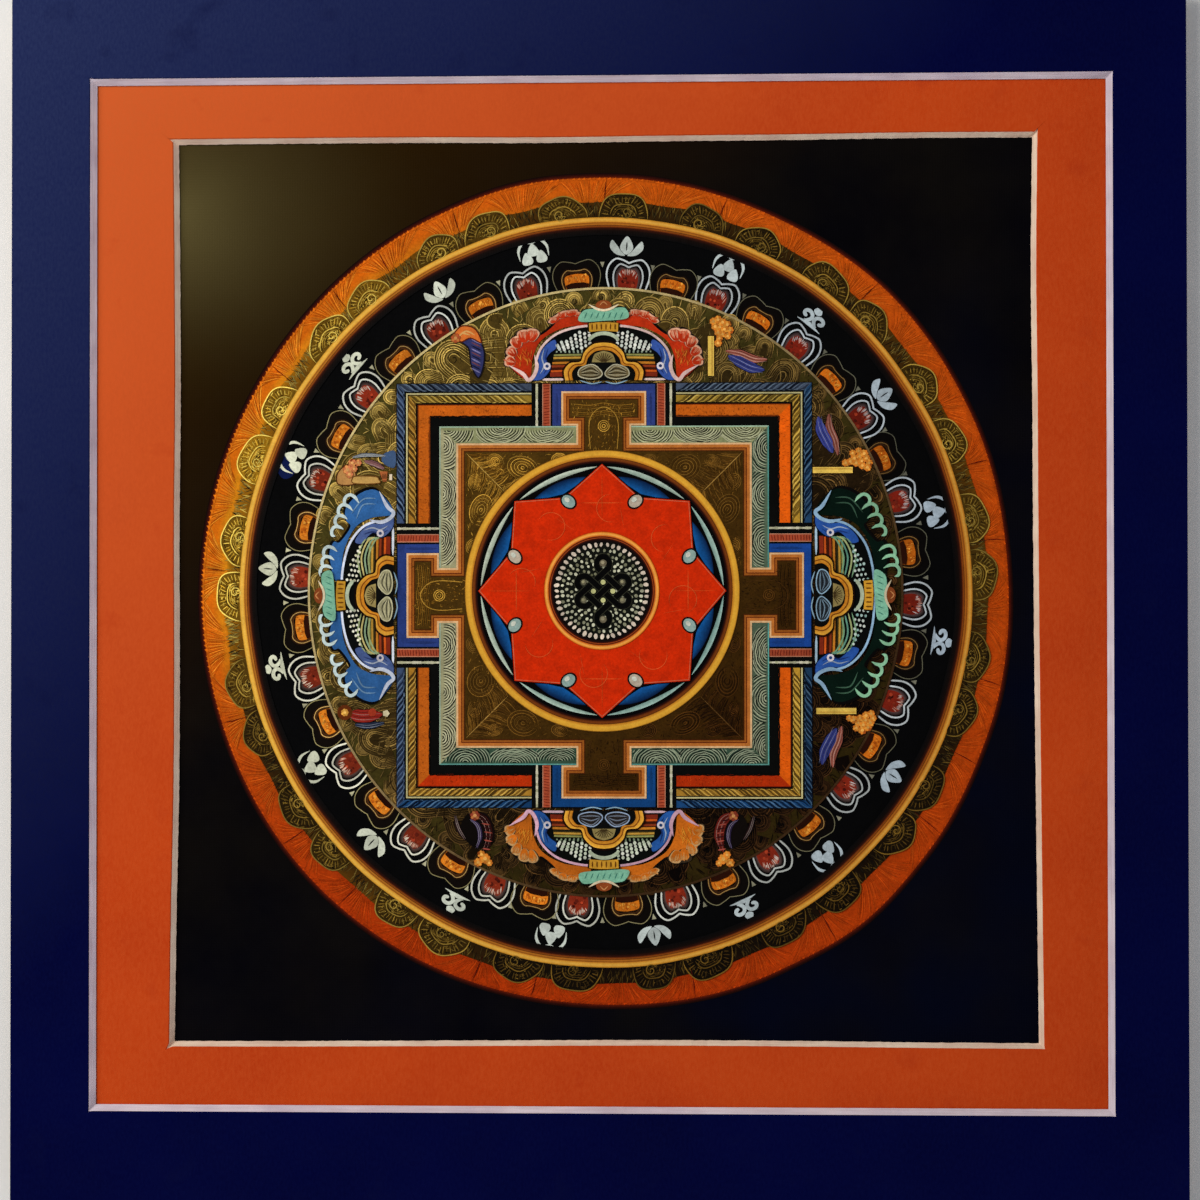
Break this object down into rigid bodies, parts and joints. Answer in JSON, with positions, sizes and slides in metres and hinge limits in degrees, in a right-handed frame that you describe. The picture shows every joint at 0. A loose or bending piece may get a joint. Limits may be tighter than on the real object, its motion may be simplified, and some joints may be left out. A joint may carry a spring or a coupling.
{
  "type": "mandala thangka painting in a double window mount",
  "caption": "Flat mandala painting on black cloth, framed by two stacked window boards with slanted core edges: a hand-cut inner one and a straight outer one.",
  "frame": {"origin": "under the middle of the outer board, on the surface that the cloth lies on", "axes": "+X is the picture's right, +Y its top, +Z points out of the picture towards the viewer"},
  "size_m": [0.254, 0.262, 0.0045],
  "materials": {
    "painted_cloth": "matt primed cotton with mineral paint and gold",
    "orange_board": "matt coloured paper on pale board, slightly stained",
    "navy_board": "matt coloured paper on pale board"
  },
  "bodies": {
    "root": {"painted_canvas": "painted_cloth", "inner_mount": "orange_board", "outer_mount": "navy_board"}
  },
  "joints": []
}
